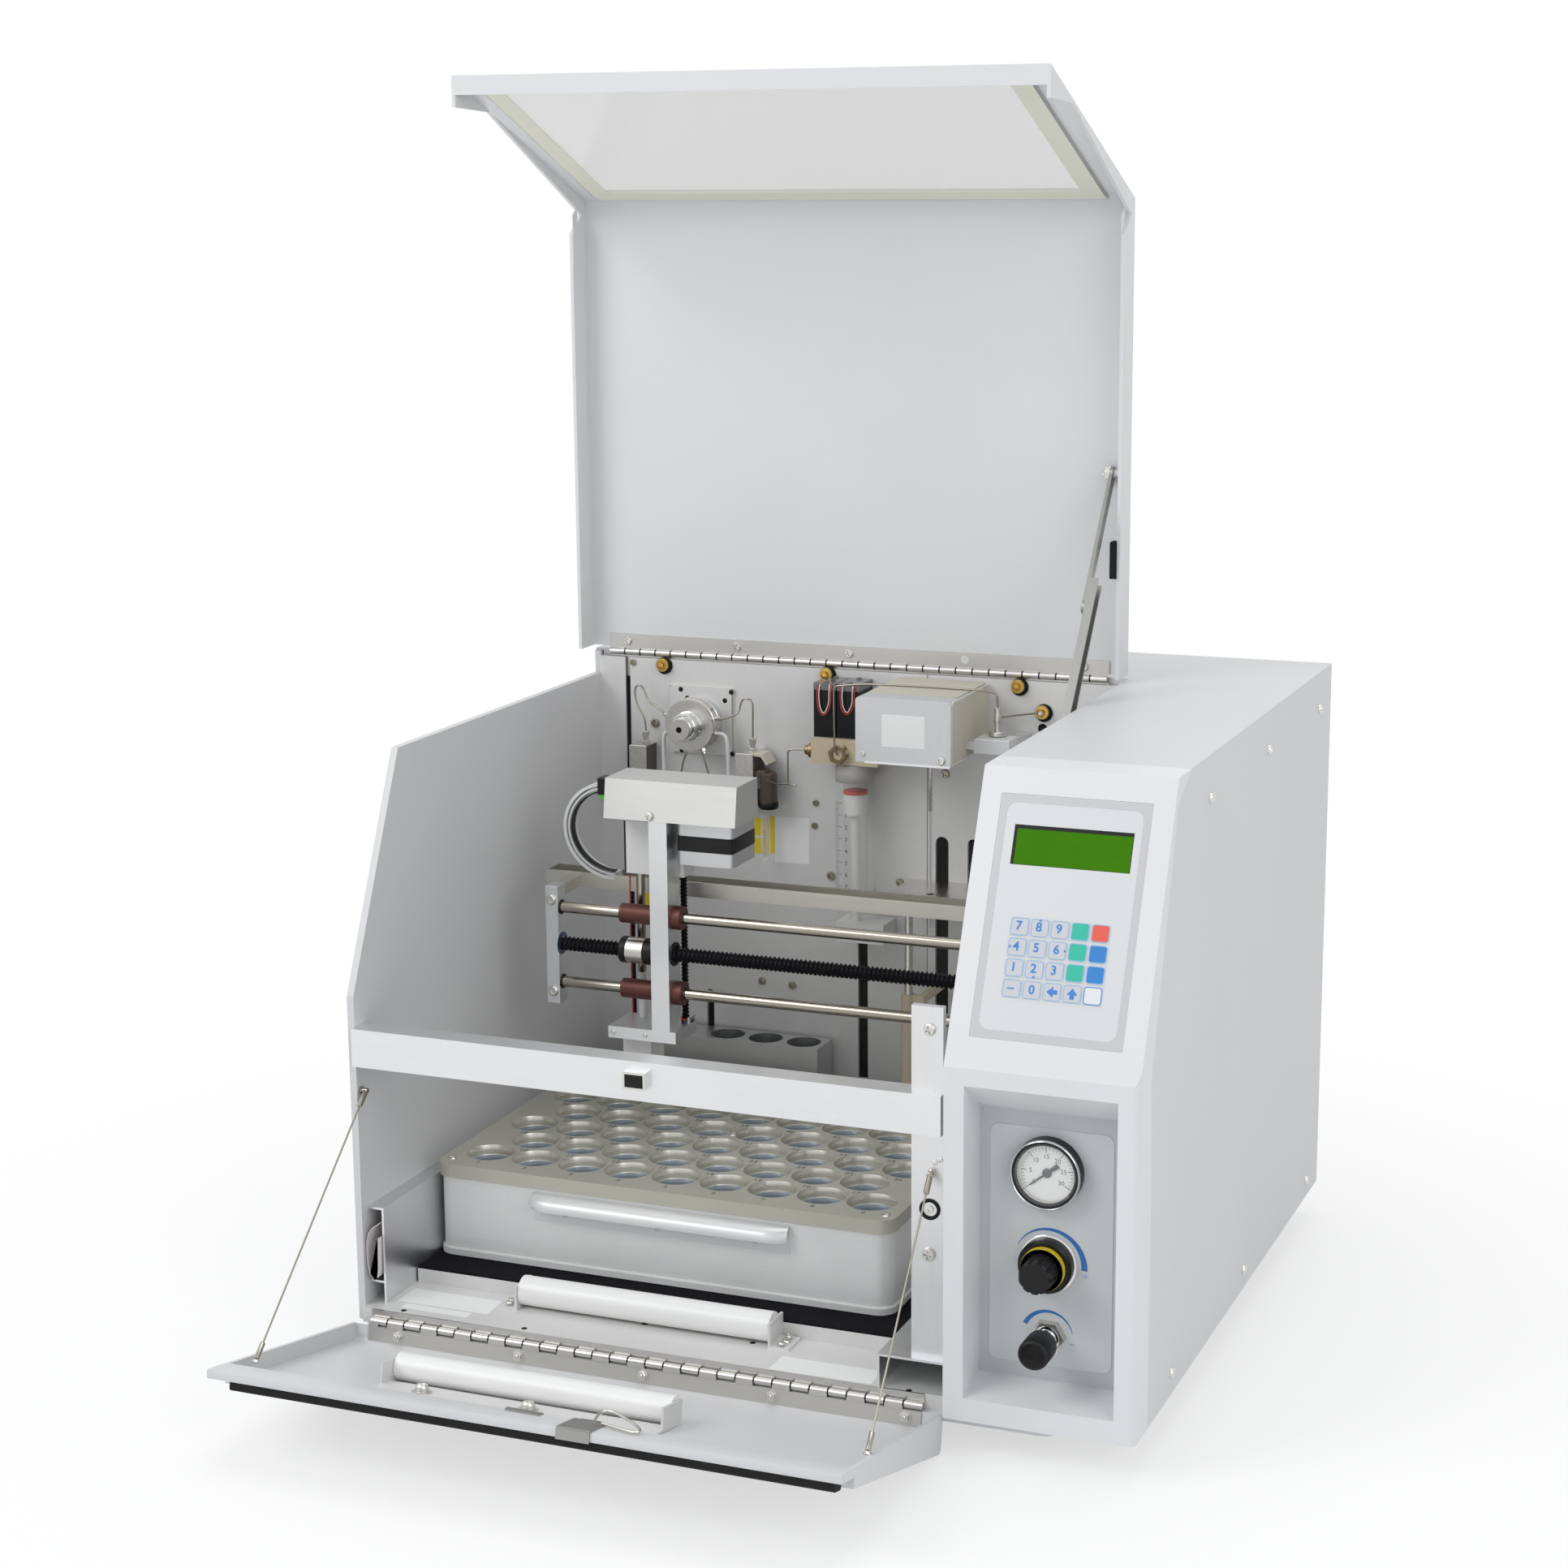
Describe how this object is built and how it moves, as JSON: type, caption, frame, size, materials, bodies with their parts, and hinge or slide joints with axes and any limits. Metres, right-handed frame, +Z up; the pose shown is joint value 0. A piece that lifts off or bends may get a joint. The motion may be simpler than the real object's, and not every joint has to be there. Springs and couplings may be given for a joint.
{
  "type": "vial autosampler",
  "caption": "Benchtop vial autosampler with a slide-out vial tray, moving gantry and gripper, hinged lid and door, and a keypad tower with gas controls.",
  "frame": {"origin": "on the table under the middle of the whole footprint, with the door and the lid open", "axes": "+X to the right as seen from the front, +Y to the rear, +Z up; the front faces -Y"},
  "size_m": [0.548, 0.7, 0.849],
  "materials": {
    "housing_paint": "light cool grey powder coat",
    "bezel": "moulded off-white bezel",
    "keypad": "printed membrane",
    "lcd": "green liquid crystal behind a clear window",
    "control_panel": "grey panel with a lighter raised field",
    "gauge": "polished gauge case",
    "gauge_glass": "clear gauge glass",
    "pointer": "black pointer",
    "regulator": "yellow ring on a machined body",
    "knobs": "black knobs",
    "valve": "machined valve body",
    "zinc": "zinc plated sheet",
    "bright_aluminium": "brushed bright aluminium",
    "anodised": "champagne anodised aluminium",
    "tray_box": "silver grey sheet",
    "felt": "black felt",
    "ptfe": "white low-friction plastic",
    "stainless": "stainless steel",
    "polished_rod": "polished rods",
    "black_screw": "black lead screw",
    "bearings": "brown bronze bushings",
    "motor": "black motor with bright end caps",
    "rack": "machined aluminium block",
    "rotary_valve": "machined stainless valve",
    "manifold": "beige moulded manifold with black coils",
    "syringe": "clear syringe barrel",
    "plunger": "white plunger and bracket",
    "window": "clear polycarbonate window",
    "cable": "twisted steel wire with crimped ferrules",
    "ribbon": "flat flexible cable",
    "rubber": "black rubber"
  },
  "bodies": {
    "case": {"base_pan": "housing_paint", "rubber_feet": "rubber", "deck_plate": "zinc", "left_side_panel": "housing_paint", "corner_channel": "zinc", "back_plates": "zinc", "rear_panel": "housing_paint", "top_cover": "housing_paint", "tower_inner_wall": "zinc", "right_side_panel": "housing_paint", "tower_bezel": "bezel", "keypad_panel": "keypad", "lcd_window": "lcd", "control_panel": "control_panel", "gauge_case": "gauge", "gauge_lens": "gauge_glass", "regulator_body": "regulator", "flow_valve_body": "valve", "crossbar": "bright_aluminium", "post_plate": "bright_aluminium", "side_guides": "bright_aluminium", "tray_platform": "zinc", "tray_mat": "felt", "vial_rack": "rack", "frame_hinges": "stainless", "rotary_valve": "rotary_valve", "gas_fittings": "rotary_valve", "valve_manifold": "manifold", "syringe_barrel": "syringe", "heater_box": "housing_paint", "lift_column": "stainless", "stay_wires": "cable"},
    "needle": {"gauge_needle": "pointer"},
    "regulator": {"regulator_knob": "knobs"},
    "flow": {"flow_knob": "knobs"},
    "tray": {"tray_box": "tray_box", "tray_top_plate": "anodised", "tray_handle": "anodised"},
    "deck_roller": {"deck_roller": "ptfe"},
    "door": {"door_panel": "housing_paint", "door_hinge_leaf": "stainless", "door_roller_bracket": "stainless"},
    "door_roller": {"door_roller": "ptfe"},
    "lid": {"lid_panel": "housing_paint", "lid_window": "window", "lid_hinge_leaf": "stainless"},
    "stay_channel": {"stay_channel": "stainless"},
    "stay_bar": {"stay_bar": "stainless"},
    "gantry": {"gantry_frame": "anodised", "gantry_rods": "polished_rod", "ribbon_loop": "ribbon"},
    "x_screw": {"x_leadscrew": "black_screw"},
    "carriage": {"carriage_frame": "bright_aluminium", "carriage_bearings": "bearings", "carriage_head": "anodised", "z_motor": "motor"},
    "z_screw": {"z_screw": "stainless"},
    "gripper": {"gripper": "ptfe"},
    "plunger": {"syringe_plunger": "plunger"},
    "lift": {"lift_cup": "manifold"}
  },
  "joints": [
    {"name": "lid_hinge", "type": "hinge", "parent": "case", "child": "lid", "pos_m": [-0.071, 0.2221, 0.424], "axis": [1, 0, 0], "range_deg": [0, 90]},
    {"name": "stay_channel_pivot", "type": "hinge", "parent": "case", "child": "stay_channel", "pos_m": [0.144, 0.08574, 0.39979], "axis": [1, 0, 0], "range_deg": [0, 143.4]},
    {"name": "stay_bar_pivot", "type": "hinge", "parent": "lid", "child": "stay_bar", "pos_m": [0.14, 0.2179, 0.5724], "axis": [1, 0, 0], "range_deg": [-114.8, 0]},
    {"name": "door_hinge", "type": "hinge", "parent": "case", "child": "door", "pos_m": [-0.061, -0.1719, 0.0282], "axis": [-1, 0, 0], "range_deg": [0, 78.5], "deforming": ["stay_wires"]},
    {"name": "door_roller_spin", "type": "hinge", "parent": "door", "child": "door_roller", "pos_m": [-0.089, -0.26093, 0.04203], "axis": [1, 0, 0], "continuous": true},
    {"name": "deck_roller_spin", "type": "hinge", "parent": "case", "child": "deck_roller", "pos_m": [-0.074, -0.1267, 0.0465], "axis": [1, 0, 0], "continuous": true},
    {"name": "tray_slide", "type": "slide", "parent": "case", "child": "tray", "axis": [0, 0.9636, -0.2672], "range_m": [-0.26, 0]},
    {"name": "gantry_y", "type": "slide", "parent": "case", "child": "gantry", "axis": [0, 1, 0], "range_m": [-0.1, 0.09]},
    {"name": "carriage_x", "type": "slide", "parent": "gantry", "child": "carriage", "axis": [1, 0, 0], "range_m": [-0.038, 0.19], "deforming": ["ribbon_loop"]},
    {"name": "x_screw_spin", "type": "hinge", "parent": "gantry", "child": "x_screw", "pos_m": [-0.041, 0.0343, 0.2438], "axis": [1, 0, 0], "continuous": true},
    {"name": "gripper_z", "type": "slide", "parent": "carriage", "child": "gripper", "axis": [0, 0, 1], "range_m": [-0.03, 0]},
    {"name": "z_screw_spin", "type": "hinge", "parent": "carriage", "child": "z_screw", "pos_m": [-0.1233, 0.0533, 0.265], "axis": [0, 0, 1], "continuous": true},
    {"name": "plunger_slide", "type": "slide", "parent": "case", "child": "plunger", "axis": [0, 0, 1], "range_m": [-0.06, 0]},
    {"name": "lift_slide", "type": "slide", "parent": "case", "child": "lift", "axis": [0, 0, 1], "range_m": [0, 0.065]},
    {"name": "regulator_turn", "type": "hinge", "parent": "case", "child": "regulator", "pos_m": [0.2091, -0.1647, 0.1239], "axis": [0, 1, 0], "range_deg": [-720, 720]},
    {"name": "flow_turn", "type": "hinge", "parent": "case", "child": "flow", "pos_m": [0.2104, -0.1647, 0.0767], "axis": [0, 1, 0], "range_deg": [-1080, 1080]},
    {"name": "gauge_pointer", "type": "hinge", "parent": "case", "child": "needle", "pos_m": [0.2095, -0.1547, 0.184], "axis": [0, 1, 0], "range_deg": [0, 250], "stiffness_Nm_per_rad": 0.0002}
  ],
  "couplings": [
    {"joint": "stay_channel_pivot", "follows": "lid_hinge", "ratio": 1.591},
    {"joint": "stay_bar_pivot", "follows": "lid_hinge", "ratio": -1.272},
    {"joint": "x_screw_spin", "follows": "carriage_x", "rad_per_m": 494.74},
    {"joint": "z_screw_spin", "follows": "gripper_z", "rad_per_m": 785.4}
  ]
}
